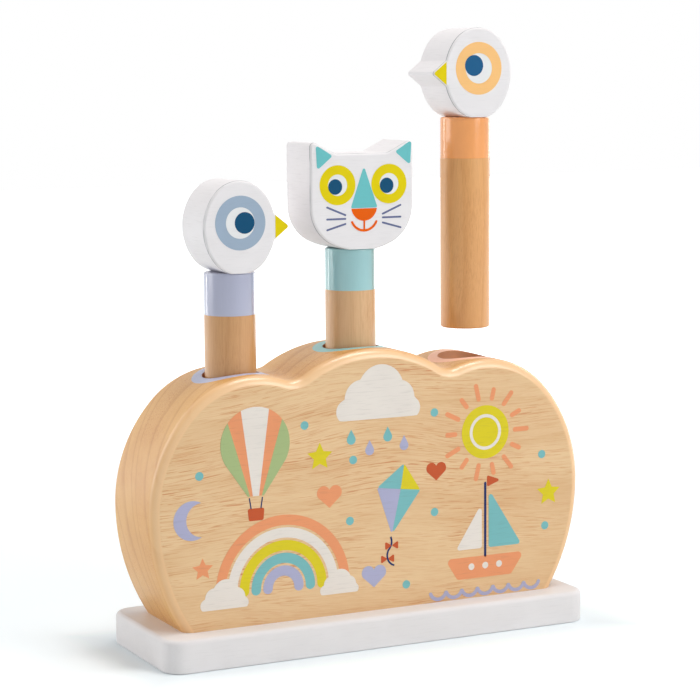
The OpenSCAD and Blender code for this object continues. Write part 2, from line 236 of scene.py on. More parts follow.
def new_piece(name, points, faces, materials, marks=None, flat=()):
    """A mesh object from points in millimetres. marks gives each face's material number, and flat the
    faces that aren't shaded smooth."""
    mesh = bpy.data.meshes.new(name)
    mesh.from_pydata([Vector(p) * MM for p in points], [], faces)
    for material in materials:
        mesh.materials.append(material)
    for i, polygon in enumerate(mesh.polygons):
        polygon.use_smooth = i not in flat
        polygon.material_index = marks[i] if marks else 0
    mesh.validate()
    return new_object(name, mesh)


def skin(rings, n, clockwise=False):
    """Four-sided faces between neighbouring rings of n points each."""
    faces = []
    for k in range(rings - 1):
        for i in range(n):
            a, b = k * n + i, k * n + (i + 1) % n
            faces.append([a, b, b + n, a + n] if clockwise else [a, a + n, b + n, b])
    return faces


def rounding(radius):
    """Inset and drop of a rounded edge, from the flat face to the side."""
    quarter = [math.radians(90 * i / EDGE_STEPS) for i in range(EDGE_STEPS + 1)]
    return [(radius * (1 - math.sin(a)), radius * (1 - math.cos(a))) for a in quarter]


def board(name, outline, thickness, edge_r, materials, move=(0, 0), flip=1, guard=0.1):
    """Upright board with rounded front and back edges; outline(inset) gives [x, z] points. A guard
    ring inside each flat face keeps the shading of the rounding off it."""
    rim = [(edge_r + guard, thickness / 2)]
    rim += [(inset, thickness / 2 - drop) for inset, drop in rounding(edge_r)]
    levels = [(inset, -y) for inset, y in rim] + list(reversed(rim))
    n = len(outline(0))
    points = []
    for k, (inset, y) in enumerate(levels):
        ring = outline(inset)
        if k in (0, len(levels) - 1):
            foot = min(z for x, z in ring) + guard
            ring = [(x, max(z, foot)) for x, z in ring]
        points += [(flip * x + move[0], y, z + move[1]) for x, z in ring]
    last = (len(levels) - 1) * n
    faces = [list(range(n)), [last + i for i in range(n - 1, -1, -1)]] + skin(len(levels), n)
    if flip < 0:
        faces = [list(reversed(f)) for f in faces]
    return new_piece(name, points, faces, materials, flat=(0, 1))


def cut_below(piece, z):
    """Cuts a closed mesh off below the height z, and closes it."""
    bm = bmesh.new()
    bm.from_mesh(piece.data)
    geometry = bm.verts[:] + bm.edges[:] + bm.faces[:]
    cut = bmesh.ops.bisect_plane(bm, geom=geometry, dist=1e-7, plane_co=(0, 0, z * MM),
                                 plane_no=(0, 0, -1), clear_outer=True)
    edges = [e for e in cut["geom_cut"] if isinstance(e, bmesh.types.BMEdge)]
    for face in bmesh.ops.edgeloop_fill(bm, edges=edges)["faces"]:
        face.smooth = False
    bmesh.ops.recalc_face_normals(bm, faces=bm.faces)
    bm.to_mesh(piece.data)
    bm.free()


def turned(name, profile, centre_x, material):
    """A turned piece from [radius, z] points, from its middle below to its middle above."""
    points = []
    rows = []
    for radius, z in profile:
        if radius == 0:
            rows.append([len(points)] * TURNED_STEPS)
            points.append((centre_x, 0, z))
            continue
        rows.append([len(points) + i for i in range(TURNED_STEPS)])
        for i in range(TURNED_STEPS):
            a = 2 * math.pi * i / TURNED_STEPS
            points.append((centre_x + radius * math.cos(a), radius * math.sin(a), z))
    faces = []
    for low, high in zip(rows, rows[1:]):
        for i in range(TURNED_STEPS):
            j = (i + 1) % TURNED_STEPS
            faces.append(list(dict.fromkeys([low[i], low[j], high[j], high[i]])))
    return new_piece(name, points, faces, [material])


def turned_corner(radius, z, fillet, start):
    """Points of a turned rod's rounded corner; start is the angle where it begins."""
    return [at((radius, z), fillet, start + 90 * i / CORNER_STEPS) for i in range(CORNER_STEPS + 1)]


def drill(piece, profile, centre_x):
    """Cuts a turned hole out of a piece, and applies the cut to its mesh."""
    bit = turned("bit", profile, centre_x, None)
    cut = piece.modifiers.new("hole", "BOOLEAN")
    cut.operation, cut.solver, cut.object = "DIFFERENCE", "EXACT", bit
    bpy.context.view_layer.update()
    old = piece.data
    mesh = bpy.data.meshes.new_from_object(piece.evaluated_get(bpy.context.evaluated_depsgraph_get()))
    piece.modifiers.clear()
    piece.data = mesh
    mesh.name = piece.name
    bpy.data.meshes.remove(old)
    bpy.data.objects.remove(bit)


def stand_for(piece, node, body, crease):
    """Puts a piece in a CAD node's place; edges that turn by more than crease degrees stay crisp."""
    piece.data.set_sharp_from_angle(angle=math.radians(crease))
    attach(piece, body)
    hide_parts(node)


# ---------------------------------------------------------------- shader nodes

def linear(red, green, blue):
    """An sRGB colour, 0 to 255, as linear values."""
    def channel(v):
        v /= 255
        return v / 12.92 if v <= 0.04045 else ((v + 0.055) / 1.055) ** 2.4
    return (channel(red), channel(green), channel(blue), 1)


class Net:
    """Adds nodes to a tree. A method returns the new node's output unless it says otherwise."""

    def __init__(self, tree):
        self.tree = tree

    def put(self, value, socket):
        """Links an output to a socket, or writes a plain value in it."""
        if isinstance(value, bpy.types.NodeSocket):
            self.tree.links.new(value, socket)
        else:
            socket.default_value = value

    def node(self, kind, ins, **settings):
        """A new node with its settings and inputs; returns the node."""
        node = self.tree.nodes.new(kind)
        for name, value in settings.items():
            setattr(node, name, value)
        for key, value in ins.items():
            self.put(value, node.inputs[key])
        return node

    def add(self, kind, ins, out=0, **settings):
        return self.node(kind, ins, **settings).outputs[out]

    def math(self, operation, a, b=0.0, clamp=False):
        return self.add("ShaderNodeMath", {0: a, 1: b}, operation=operation, use_clamp=clamp)

    def plus(self, a, b, clamp=False):
        return self.math("ADD", a, b, clamp)

    def minus(self, a, b):
        return self.math("SUBTRACT", a, b)

    def times(self, a, b, clamp=False):
        return self.math("MULTIPLY", a, b, clamp)

    def distance(self, x, y):
        return self.math("SQRT", self.plus(self.times(x, x), self.times(y, y)))

    def scaled(self, vector, factors):
        return self.add("ShaderNodeVectorMath", {0: vector, 1: factors}, operation="MULTIPLY")

    def noise(self, vector, scale, detail=2.0, roughness=0.5):
        """Noise; scale is roughly how often it comes round in each millimetre along X, Y and Z."""
        return self.add("ShaderNodeTexNoise", {"Vector": self.scaled(vector, scale), "Scale": 1.0,
                                               "Detail": detail, "Roughness": roughness})

    def span(self, value, low, high, to_low=0.0, to_high=1.0):
        """value taken smoothly from the range low..high to to_low..to_high."""
        return self.add("ShaderNodeMapRange", {"Value": value, "From Min": low, "From Max": high,
                                               "To Min": to_low, "To Max": to_high},
                        interpolation_type="SMOOTHSTEP")

    def mix(self, factor, a, b, blend_type="MIX"):
        """A mix of two colours."""
        return self.add("ShaderNodeMix", {0: factor, 6: a, 7: b}, out=2, data_type="RGBA",
                        blend_type=blend_type)

    def between(self, factor, a, b):
        """A mix of two values."""
        return self.add("ShaderNodeMix", {0: factor, 2: a, 3: b}, data_type="FLOAT")

    def parts(self, vector):
        """The vector's X, Y and Z."""
        return tuple(self.node("ShaderNodeSeparateXYZ", {0: vector}).outputs)

    def joined(self, x, y, z):
        return self.add("ShaderNodeCombineXYZ", {0: x, 1: y, 2: z})

    def coordinates(self, kind):
        return self.node("ShaderNodeTexCoord", {}).outputs[kind]

    def millimetres(self):
        """The piece's own coordinates, in millimetres."""
        return self.scaled(self.coordinates("Object"), (1 / MM, 1 / MM, 1 / MM))

    def use(self, group, ins):
        """A node group with its inputs; returns the node's outputs."""
        return self.node("ShaderNodeGroup", ins, node_tree=group).outputs


def new_group(name, inputs, outputs):
    """A node group with named sockets; returns its net, its inputs and its outputs."""
    tree = bpy.data.node_groups.new(name, "ShaderNodeTree")
    kinds = {"vector": "NodeSocketVector", "color": "NodeSocketColor", "value": "NodeSocketFloat"}
    for direction, sockets in (("INPUT", inputs), ("OUTPUT", outputs)):
        for label, kind in sockets:
            tree.interface.new_socket(label, in_out=direction, socket_type=kinds[kind])
    given, result = tree.nodes.new("NodeGroupInput"), tree.nodes.new("NodeGroupOutput")
    return Net(tree), given.outputs, result.inputs


# Noise scales of the timber: along the grain, and twice across it
SWAY, DRIFT = (0.008, 0.012, 0.012), (0.007, 0.02, 0.02)
CLOUDING, PATCHES = (0.012, 0.06, 0.06), (0.012, 0.035, 0.035)
FIBRES, LINES, PORES = (0.12, 2.2, 2.2), (0.035, 2.3, 2.3), (0.09, 2.4, 2.4)
HEART_Y, HEART_Z = 170.0, 20.0


def timber_group():
    """Lacquered pale hardwood, grain along X, the tree's heart behind it; Vector is in millimetres."""
    net, given, result = new_group(
        "timber",
        [("Vector", "vector"), ("Pale", "color"), ("Dark", "color"), ("Streak", "color"),
         ("Ring Spacing", "value"), ("Ring Amount", "value"), ("Line Amount", "value"),
         ("Pore Amount", "value")],
        [("Color", "color"), ("Roughness", "value"), ("Height", "value")])
    vector = given["Vector"]
    x, y, z = net.parts(vector)
    heart = net.distance(net.minus(y, HEART_Y), net.minus(z, HEART_Z))
    drift = net.times(net.noise(vector, DRIFT, 1.0), 16.0)
    year = net.times(net.noise(net.joined(heart, 0.0, 0.0), (0.06, 1, 1), 1.0), 2.4)
    turn = net.math("DIVIDE", net.plus(heart, drift), given["Ring Spacing"])
    turn = net.math("FRACT", net.plus(turn, year))
    late = net.times(net.span(turn, 0.66, 0.94), net.span(turn, 0.94, 0.99, 1.0, 0.0))
    sway = net.times(net.noise(vector, SWAY, 1.0), 26.0)
    place = net.joined(x, y, net.plus(z, sway))
    cloud = net.span(net.noise(place, CLOUDING), 0.35, 0.68)
    fibre = net.noise(place, FIBRES, 3.0, 0.65)
    lines = net.span(net.noise(place, LINES, 2.0, 0.6), 0.53, 0.64)
    pores = net.span(net.noise(place, PORES, 1.0), 0.6, 0.69)
    patch = net.span(net.noise(place, PATCHES, 1.0), 0.36, 0.62, 0.25)
    tone = net.plus(net.times(cloud, 0.3), net.times(late, given["Ring Amount"]))
    tone = net.plus(tone, net.span(fibre, 0.35, 0.65, -0.1, 0.1), clamp=True)
    body = net.mix(tone, given["Pale"], given["Dark"])
    drawn = net.math("MAXIMUM", net.times(lines, given["Line Amount"]),
                     net.times(pores, given["Pore Amount"]))
    drawn = net.times(drawn, patch, clamp=True)
    net.put(net.mix(drawn, body, given["Streak"]), result["Color"])
    net.put(net.span(fibre, 0.3, 0.7, 0.33, 0.45), result["Roughness"])
    net.put(net.minus(fibre, net.times(pores, 0.8)), result["Height"])
    return net.tree


def paint_group():
    """Sprayed paint over wood: slightly uneven, with the grain along X just telling through."""
    net, given, result = new_group(
        "paint_film",
        [("Vector", "vector"), ("Color", "color"), ("Grain", "value"), ("Gloss", "value")],
        [("Color", "color"), ("Roughness", "value"), ("Height", "value")])
    place = given["Vector"]
    blotch = net.span(net.noise(place, (0.05, 0.07, 0.07)), 0.3, 0.7)
    grain = net.noise(place, (0.09, 1.3, 1.3), 3.0, 0.6)
    lines = net.times(net.span(grain, 0.5, 0.75), given["Grain"])
    peel = net.noise(place, (0.9, 0.9, 0.9), 1.0)
    shade = net.plus(net.times(blotch, 0.03), net.times(lines, 0.16), clamp=True)
    rough = net.minus(0.55, net.times(given["Gloss"], 0.4))
    net.put(net.mix(shade, given["Color"], (0.12, 0.1, 0.09, 1)), result["Color"])
    net.put(net.plus(rough, net.times(blotch, 0.05)), result["Roughness"])
    net.put(net.plus(net.times(grain, given["Grain"]), net.times(peel, 0.35)), result["Height"])
    return net.tree


def round_group():
    """1 inside an upright round rod of the given radius about (Centre X, 0), 0 outside it."""
    net, given, result = new_group(
        "round_mask", [("Vector", "vector"), ("Centre X", "value"), ("Radius", "value")],
        [("Mask", "value")])
    x, y, z = net.parts(given["Vector"])
    far = net.distance(net.minus(x, given["Centre X"]), y)
    net.put(net.span(net.minus(given["Radius"], far), -0.04, 0.04), result["Mask"])
    return net.tree


def rim_group():
    """Mask is 0 on the front and the back of a board and 1 on its rim. Round is 1 on the rounding
    between them, and Edge where that faces up and hands have polished it."""
    net, given, result = new_group(
        "rim_mask", [], [("Mask", "value"), ("Round", "value"), ("Edge", "value")])
    nx, ny, nz = net.parts(net.coordinates("Normal"))
    facing = net.math("ABSOLUTE", ny)
    edge = net.times(net.span(facing, 0.08, 0.4), net.span(facing, 0.97, 0.999, 1.0, 0.0))
    net.put(net.span(facing, 0.5, 0.9, 1.0, 0.0), result["Mask"])
    net.put(edge, result["Round"])
    net.put(net.times(edge, net.span(nz, -0.2, 0.3)), result["Edge"])
    return net.tree


TIMBER = timber_group()
PAINT_FILM = paint_group()
ROUND_MASK = round_group()
RIM_MASK = rim_group()

# ---------------------------------------------------------------- materials

def wood_colours(pale, dark, streak):
    return {"Pale": linear(*pale), "Dark": linear(*dark), "Streak": linear(*streak)}


BLOCK_WOOD = wood_colours((234, 198, 151), (214, 165, 113), (200, 112, 46))
PEG_STREAK = (176, 112, 58)
PEG_WOODS = {"left": wood_colours((210, 159, 107), (188, 134, 82), PEG_STREAK),
             "middle": wood_colours((221, 178, 131), (202, 156, 107), PEG_STREAK),
             "right": wood_colours((228, 167, 103), (207, 141, 77), PEG_STREAK)}
# Painted shade: the tint that deepens the block's rim and top faces
RIM_PAINTED_SHADE = linear(248, 225, 173)
# Painted light: the paler tone mixed into the block's rounding
ROUNDING_PAINTED_LIGHT = linear(250, 202, 150)
# A redder wood tone for the bore walls
BORE_WALL_TONE = linear(226, 168, 128)
RING_COLOURS = {"left": linear(190, 196, 224), "middle": linear(148, 208, 208),
                "right": linear(255, 192, 154)}
BAND_COLOURS = {"left": linear(178, 181, 204), "middle": linear(156, 203, 206),
                "right": linear(250, 164, 88)}
HEAD_WHITE = linear(238, 234, 235)
GREY_EDGE_LINE = linear(150, 152, 156)
METAL_STAIN = linear(120, 118, 112)

RING_R = 19
RING_REACH = 28
WALL_R = BORE_R + 0.05
BAND_L = 20.5
BAND_BLUR = 0.05
GREY_EDGE_LINE_Y = -13.1


def new_material(name):
    material = bpy.data.materials.new(name)
    material.use_nodes = True
    material.node_tree.nodes.clear()
    return material, Net(material.node_tree)


def finished(material, net, color, roughness, height, bump, coat=0.0, coat_roughness=0.2, metallic=0.0,
             specular=0.5):
    """Joins colour, roughness and height to the shader; bump is the height of a step of 1."""
    relief = net.add("ShaderNodeBump", {"Height": height, "Strength": 1.0, "Distance": bump * MM})
    shader = net.add("ShaderNodeBsdfPrincipled", {
        "Base Color": color, "Roughness": roughness, "Normal": relief, "Metallic": metallic,
        "Specular IOR Level": specular, "Coat Weight": coat, "Coat Roughness": coat_roughness})
    net.node("ShaderNodeOutputMaterial", {"Surface": shader})
    return material


def block_material():
    """Hardwood with growth rings on its sawn rim, tinted deeper there as painted shade, a closed
    rounding paled as painted light, bore walls in a redder tone and a ring of paint round each bore's
    mouth."""
    material, net = new_material("block_wood")
    place = net.millimetres()
    rim = net.use(RIM_MASK, {})
    open_grain = net.minus(1.0, rim["Round"])
    wood = net.use(TIMBER, {
        **BLOCK_WOOD, "Vector": place, "Ring Spacing": 10.0,
        "Ring Amount": net.span(rim["Mask"], 0.0, 1.0, 0.22, 0.6),
        "Line Amount": net.times(open_grain, 0.42), "Pore Amount": net.times(open_grain, 0.75)})
    # Painted shade: the rim and top faces are tinted deeper, standing in for their washed-out
    # reflection
    color = net.mix(net.times(rim["Mask"], 0.9), wood["Color"], RIM_PAINTED_SHADE, "MULTIPLY")
    # Painted light: the rounding is paled to lift the shade the lamps leave on it and widen the rim's
    # highlight
    color = net.mix(net.times(rim["Round"], 0.6), color, ROUNDING_PAINTED_LIGHT)
    x, y, z = net.parts(place)
    top = net.math("GREATER_THAN", z, BLOCK_HIGH.z - RING_REACH)
    for side in SIDES:
        bore = {"Vector": place, "Centre X": PEG_X[side]}
        ring = net.use(ROUND_MASK, {**bore, "Radius": RING_R})["Mask"]
        wall = net.use(ROUND_MASK, {**bore, "Radius": WALL_R})["Mask"]
        color = net.mix(net.times(ring, top), color, RING_COLOURS[side])
        # The bore walls are mixed towards a redder wood tone
        color = net.mix(net.times(wall, 0.9), color, BORE_WALL_TONE)
    polish = net.span(rim["Edge"], 0.0, 1.0, 0.1, 0.9)
    height = net.times(wood["Height"], open_grain)
    return finished(material, net, color, wood["Roughness"], height, bump=0.05, coat=polish,
                    coat_roughness=0.26, specular=0.4)


def peg_material(side):
    """Dowel wood with its grain upright, and a glossy painted band at the top."""
    material, net = new_material("peg_" + side)
    place = net.millimetres()
    x, y, z = net.parts(place)
    upright = net.joined(z, net.plus(x, 40.0 * SIDES.index(side)), y)
    wood = net.use(TIMBER, {
        **PEG_WOODS[side], "Vector": upright, "Ring Spacing": 6.0, "Ring Amount": 0.3,
        "Line Amount": 0.24, "Pore Amount": 0.2})
    film = net.use(PAINT_FILM, {
        "Vector": upright, "Color": BAND_COLOURS[side], "Grain": 0.1, "Gloss": 0.9})
    foot = PEG_TOP[side] - BAND_L
    band = net.span(z, foot - BAND_BLUR, foot + BAND_BLUR)
    color = net.mix(band, wood["Color"], film["Color"])
    rough = net.between(band, wood["Roughness"], film["Roughness"])
    height = net.plus(net.times(wood["Height"], 0.5), net.times(band, 2.0))
    polish = net.span(band, 0.0, 1.0, 0.25, 0.8)
    return finished(material, net, color, rough, height, bump=0.03, coat=polish,
                    coat_roughness=0.12, specular=0.4)


def pin_material():
    material, net = new_material("pin_wood")
    x, y, z = net.parts(net.millimetres())
    wood = net.use(TIMBER, {
        **PEG_WOODS["left"], "Vector": net.joined(z, x, y), "Ring Spacing": 4.0,
        "Ring Amount": 0.3, "Line Amount": 0.3, "Pore Amount": 0.3})
    return finished(material, net, wood["Color"], wood["Roughness"], wood["Height"], bump=0.03)


def paint_material(name, colour, grain, gloss):
    material, net = new_material(name)
    film = net.use(PAINT_FILM, {"Vector": net.millimetres(), "Color": linear(*colour), "Grain": grain,
                                "Gloss": gloss})
    return finished(material, net, film["Color"], film["Roughness"], film["Height"], bump=0.03,
                    specular=0.1)


def head_material():
    """White paint over sawn wood: the sawn rim keeps its marks across the board, and the edge of the
    front shows a fine grey line of uneven strength."""
    material, net = new_material("head_white")
    place = net.millimetres()
    x, y, z = net.parts(place)
    rim = net.use(RIM_MASK, {})["Mask"]
    face = net.use(PAINT_FILM, {"Vector": place, "Color": HEAD_WHITE, "Grain": 0.3, "Gloss": 0.2})
    sawn = net.use(PAINT_FILM, {"Vector": net.joined(y, x, z), "Color": HEAD_WHITE, "Grain": 0.45,
                                "Gloss": 0.1})
    color = net.mix(rim, face["Color"], sawn["Color"])
    # A fine grey line of uneven strength along the edge of the front
    off_line = net.math("ABSOLUTE", net.minus(y, GREY_EDGE_LINE_Y))
    line_strength = net.span(net.noise(place, (0.08, 0.08, 0.08)), 0.3, 0.6, 0.25)
    grey_line = net.times(net.span(off_line, 0.12, 0.3, 1.0, 0.0), line_strength)
    color = net.mix(net.times(grey_line, rim), color, GREY_EDGE_LINE)
    rough = net.between(rim, face["Roughness"], sawn["Roughness"])
    height = net.between(rim, face["Height"], sawn["Height"])
    return finished(material, net, color, rough, height, bump=0.04, specular=0.3)


def metal_material(name, colour, brush):
    """Metal with fine scratches; brush is how close they lie along X, Y and Z."""
    material, net = new_material(name)
    place = net.millimetres()
    scratch = net.noise(place, brush, 3.0, 0.6)
    stain = net.span(net.noise(place, (0.4, 0.4, 0.4)), 0.3, 0.75)
    color = net.mix(net.times(stain, 0.35), linear(*colour), METAL_STAIN)
    rough = net.span(scratch, 0.3, 0.7, 0.22, 0.42)
    return finished(material, net, color, rough, scratch, bump=0.01, metallic=1.0)


# The paints' sRGB colours, gathered by how far the grain tells through them and their gloss
PAINTS = {
    (0.25, 0.35): {"base_white": (233, 229, 229)},
    (0.2, 0.3): {"eye_white": (238, 238, 238), "iris_blue_grey": (162, 180, 200),
                 "iris_peach": (255, 200, 130), "beak_yellow": (230, 208, 0),
                 "cat_yellow": (232, 210, 0), "cat_teal": (112, 197, 200),
                 "cat_orange": (238, 98, 0)},
    (0.15, 0.35): {"pupil_blue": (8, 78, 116), "pupil_bright": (26, 92, 138)},
    (0.1, 0.3): {"whisker_slate": (104, 112, 150)},
    (0.8, 0.25): {"coral": (240, 158, 112), "sage": (172, 190, 134), "aqua": (126, 190, 192),
                  "lavender": (178, 178, 208), "cream": (238, 229, 220), "yellow": (226, 208, 44),
                  "rust": (202, 92, 54)},
    (0.5, 0.25): {"navy": (38, 54, 104)},
}
MATERIALS = {name: paint_material(name, colour, *finish)
             for finish, colours in PAINTS.items() for name, colour in colours.items()}
MATERIALS["head_white"] = head_material()
MATERIALS["pin_wood"] = pin_material()
MATERIALS["spring_wire"] = metal_material("spring_wire", (176, 178, 182), (0.2, 0.2, 6.0))
MATERIALS["zinc"] = metal_material("zinc", (196, 198, 204), (5.0, 5.0, 0.3))

# ---------------------------------------------------------------- wooden pieces

BASE_CORNER_R = 10
BASE_EDGE_R = 2.5
BASE_FOOT_R = 1
BASE_GUARD = 0.5
SCREW_XS = (-88, -32.5, 32.5, 88)
SCREW_MOUTH_R = 4.1
SCREW_MOUTH_Z = 0.6
SCREW_NECK_R = 2.05
SCREW_NECK_Z = 3
PEG_EDGE_R = 1
PEG_GUARD = 0.4
PIN_R = 4.05
PIN_DEPTH = 14.5


def make_block():
    block = board("block", block_outline, BLOCK_HIGH.y - BLOCK_LOW.y, BLOCK_EDGE_R,
                  [block_material()], guard=BLOCK_GUARD)
    above = BLOCK_HIGH.z + 5
    for side in SIDES:
        floor_z = node_box("spring_" + side)[0].z
        drill(block, [(0, floor_z), (BORE_R, floor_z), (BORE_R, above), (0, above)], PEG_X[side])
    stand_for(block, "body_block", "root", crease=32)


def make_base():
    """The base plate, as rings of a rounded rectangle from its underside up, with screw holes."""
    low, high = BASE_LOW, BASE_HIGH
    levels = [(BASE_FOOT_R + BASE_GUARD, low.z)]
    levels += [(inset, low.z + drop) for inset, drop in rounding(BASE_FOOT_R)]
    levels += [(inset, high.z - drop) for inset, drop in reversed(rounding(BASE_EDGE_R))]
    levels.append((BASE_EDGE_R + BASE_GUARD, high.z))
    outline = [round_rectangle(high.x, high.y, BASE_CORNER_R, inset) for inset, z in levels]
    n = len(outline[0])
    points = [(x, y, z) for ring, (inset, z) in zip(outline, levels) for x, y in ring]
    last = (len(levels) - 1) * n
    faces = [list(range(n - 1, -1, -1)), [last + i for i in range(n)]] + skin(len(levels), n, True)
    base = new_piece("base", points, faces, [MATERIALS["base_white"]], flat=(0, 1))
    end_z = SCREW_NECK_Z + 0.01
    countersink = [(0, -1), (SCREW_MOUTH_R, -1), (SCREW_MOUTH_R, SCREW_MOUTH_Z),
                   (SCREW_NECK_R, SCREW_NECK_Z), (SCREW_NECK_R, end_z), (0, end_z)]
    for x in SCREW_XS:
        drill(base, countersink, x)
    stand_for(base, "base_plate", "root", crease=32)


def make_peg(side):
    low, high = PEG_BOXES[side]
    inner = PEG_R - PEG_EDGE_R
    hole_z = high.z - PIN_DEPTH
    profile = [(0, low.z), (inner - PEG_GUARD, low.z)]
    profile += turned_corner(inner, low.z + PEG_EDGE_R, PEG_EDGE_R, -90)
    profile += turned_corner(inner, high.z - PEG_EDGE_R, PEG_EDGE_R, 0)
    profile += [(inner - PEG_GUARD, high.z), (PIN_R, high.z), (PIN_R, hole_z), (0, hole_z)]
    peg = turned("dowel_" + side, profile, PEG_X[side], peg_material(side))
    stand_for(peg, "peg_" + side, BODY_OF_PEG[side], crease=40)


def make_head(side, node, outline, flip):
    """A sawn head, cut flat below where it sits on its peg."""
    low, high = node_box(node)
    head = board("wood_" + node, outline, high.y - low.y, HEAD_EDGE_R, [MATERIALS["head_white"]],
                 move=(PEG_X[side], PEG_TOP[side]), flip=flip)
    cut_below(head, PEG_TOP[side])
    stand_for(head, node, BODY_OF_PEG[side], crease=50)


# ---------------------------------------------------------------- springs

WIRE_R = 0.7
WIRE_SIDES = 12
STEPS_PER_TURN = 40
FLOOR_GAP = 0.1
COIL_R = 10.5
ANCHOR_R = 5
ANCHOR_TURNS = 0.7
SPREAD_TURNS = 0.5
COIL_TURNS = 6.5
END_TURNS = 0.9


def make_spring(side):
    """A coil of wire: a small coil under its washer, the working coils and a closed top turn."""
    low, high = node_box("spring_" + side)
    length = high.z - low.z
    rise_start = ANCHOR_TURNS + SPREAD_TURNS
    rise_end = rise_start + COIL_TURNS
    total = rise_end + END_TURNS
    under_top = length - 3 * WIRE_R
    steps = round(total * STEPS_PER_TURN)
    points = []
    for i in range(steps + 1):
        n = total * i / steps
        radius, z = COIL_R, WIRE_R + FLOOR_GAP
        if n < rise_start:
            radius = ANCHOR_R + (COIL_R - ANCHOR_R) * max(0, n - ANCHOR_TURNS) / SPREAD_TURNS
        elif n < rise_end:
            z += (under_top - z) * (n - rise_start) / COIL_TURNS
        else:
            z = under_top + 2 * WIRE_R * (n - rise_end) / END_TURNS
        a = 2 * math.pi * n
        for k in range(WIRE_SIDES):
            b = 2 * math.pi * k / WIRE_SIDES
            w = radius + WIRE_R * math.cos(b)
            points.append((PEG_X[side] + w * math.cos(a), w * math.sin(a),
                           low.z + z + WIRE_R * math.sin(b)))
    last = steps * WIRE_SIDES
    faces = skin(steps + 1, WIRE_SIDES)
    faces.append(list(range(WIRE_SIDES)))
    faces.append([last + k for k in range(WIRE_SIDES - 1, -1, -1)])
    spring = new_piece("coil_" + side, points, faces, [MATERIALS["spring_wire"]])
    stand_for(spring, "spring_" + side, "follower_" + side, crease=60)
    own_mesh(spring)


def dress_fasteners():
    """Materials for the pins, washers and screws, which keep their CAD meshes."""
    for name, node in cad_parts.items():
        if name.startswith("neck_pin"):
            finish = "pin_wood"
        elif "screw" in name or "washer" in name:
            finish = "zinc"
        else:
            continue
        node.data.materials.clear()
        node.data.materials.append(MATERIALS[finish])


# ---------------------------------------------------------------- shapes of paint

CAP_STEPS = 10


def disc(centre, radius, steps=48):
    return arc(centre, radius, 0, 360, steps=steps)


def cap(centre, radius, start):
    """The half circle that ends a stroke."""
    return arc(centre, radius, start, start + 180, steps=CAP_STEPS, last=True)


def line(p, q, width):
    """A straight stroke with round ends."""
    a = heading(p, q)
    return cap(p, width / 2, a + 90) + cap(q, width / 2, a - 90)


def bow(centre, radius, start, end, width, steps=32):
    """A curved stroke with round ends along an arc."""
    r_out, r_in = radius + width / 2, radius - width / 2
    return (arc(centre, r_out, start, end, steps=steps, last=True)
            + cap(at(centre, radius, end), width / 2, end)[1:-1]
            + arc(centre, r_in, end, start, steps=steps, last=True)
            + cap(at(centre, radius, start), width / 2, start + 180)[1:-1])


def soft_polygon(corners, radius):
    """A convex polygon, anticlockwise, with its corners rounded."""
    points = []
    n = len(corners)
    for i, c in enumerate(corners):
        before, after = corners[i - 1], corners[(i + 1) % n]
        a, b = heading(before, c) - 90, heading(c, after) - 90
        turn = (b - a) % 360
        reach = radius / math.cos(math.radians(turn / 2))
        centre = at(c, -reach, a + turn / 2)
        points += arc(centre, radius, a, a + turn, steps=8, last=True)
    return points


# Puffs of a cloud of width 1: x, z and radius, and the height of its flat underside
PUFFS = ((-0.37, -0.11, 0.13), (-0.2, 0.02, 0.2), (0.03, 0.1, 0.27), (0.24, 0.0, 0.19),
         (0.38, -0.12, 0.12))
CLOUD_FOOT = -0.21
CLOUD_FOOT_HALF_W = 0.38
CLOUD_STEPS = 120


def cloud(x, z, size):
    """A cloud of five puffs with a flat underside, as the farthest reach of its puffs all round."""
    outline = []
    for i in range(CLOUD_STEPS):
        a = 2 * math.pi * i / CLOUD_STEPS
        ux, uz = math.cos(a), math.sin(a)
        reach = 0
        for px, pz, r in PUFFS:
            along, aside = px * ux + pz * uz, px * uz - pz * ux
            if abs(aside) < r:
                reach = max(reach, along + math.sqrt(r * r - aside * aside))
        if uz < 0:
            foot = CLOUD_FOOT / uz
            if reach > foot or abs(foot * ux) < CLOUD_FOOT_HALF_W:
                reach = foot
        outline.append((x + size * reach * ux, z + size * reach * uz))
    return outline


def drop(x, z, size):
    """A rain drop with its point up."""
    return arc((x, z), size, 150, 390, steps=24, last=True) + [(x, z + 2.1 * size)]


def star(x, z, size):
    """A star of five points."""
    return [at((x, z), size * (0.48 if i % 2 else 1), 90 + 36 * i) for i in range(10)]


def heart(x, z, size):
    """A heart of two arcs that meet in a point below."""
    r = size * 0.29
    return (arc((x + r * 0.92, z), r, -38, 157, last=True)
            + arc((x - r * 0.92, z), r, 23, 218, last=True) + [(x, z - size * 0.62)])


def crescent(x, z, radius):
    outer = arc((x, z), radius, 60, 300, steps=36, last=True)
    inner_c = (x + radius * 0.55, z)
    reach, a = math.dist(inner_c, outer[0]), heading(inner_c, outer[0])
    return outer + arc(inner_c, reach, 360 - a, a, steps=30, last=True)[1:-1]


def area(points):
    return sum(p[0] * q[1] - q[0] * p[1] for p, q in zip(points, points[1:] + points[:1])) / 2


PAINT_T = 0.1
LAYER_T = 0.05
PAINT_GAP = 0.05


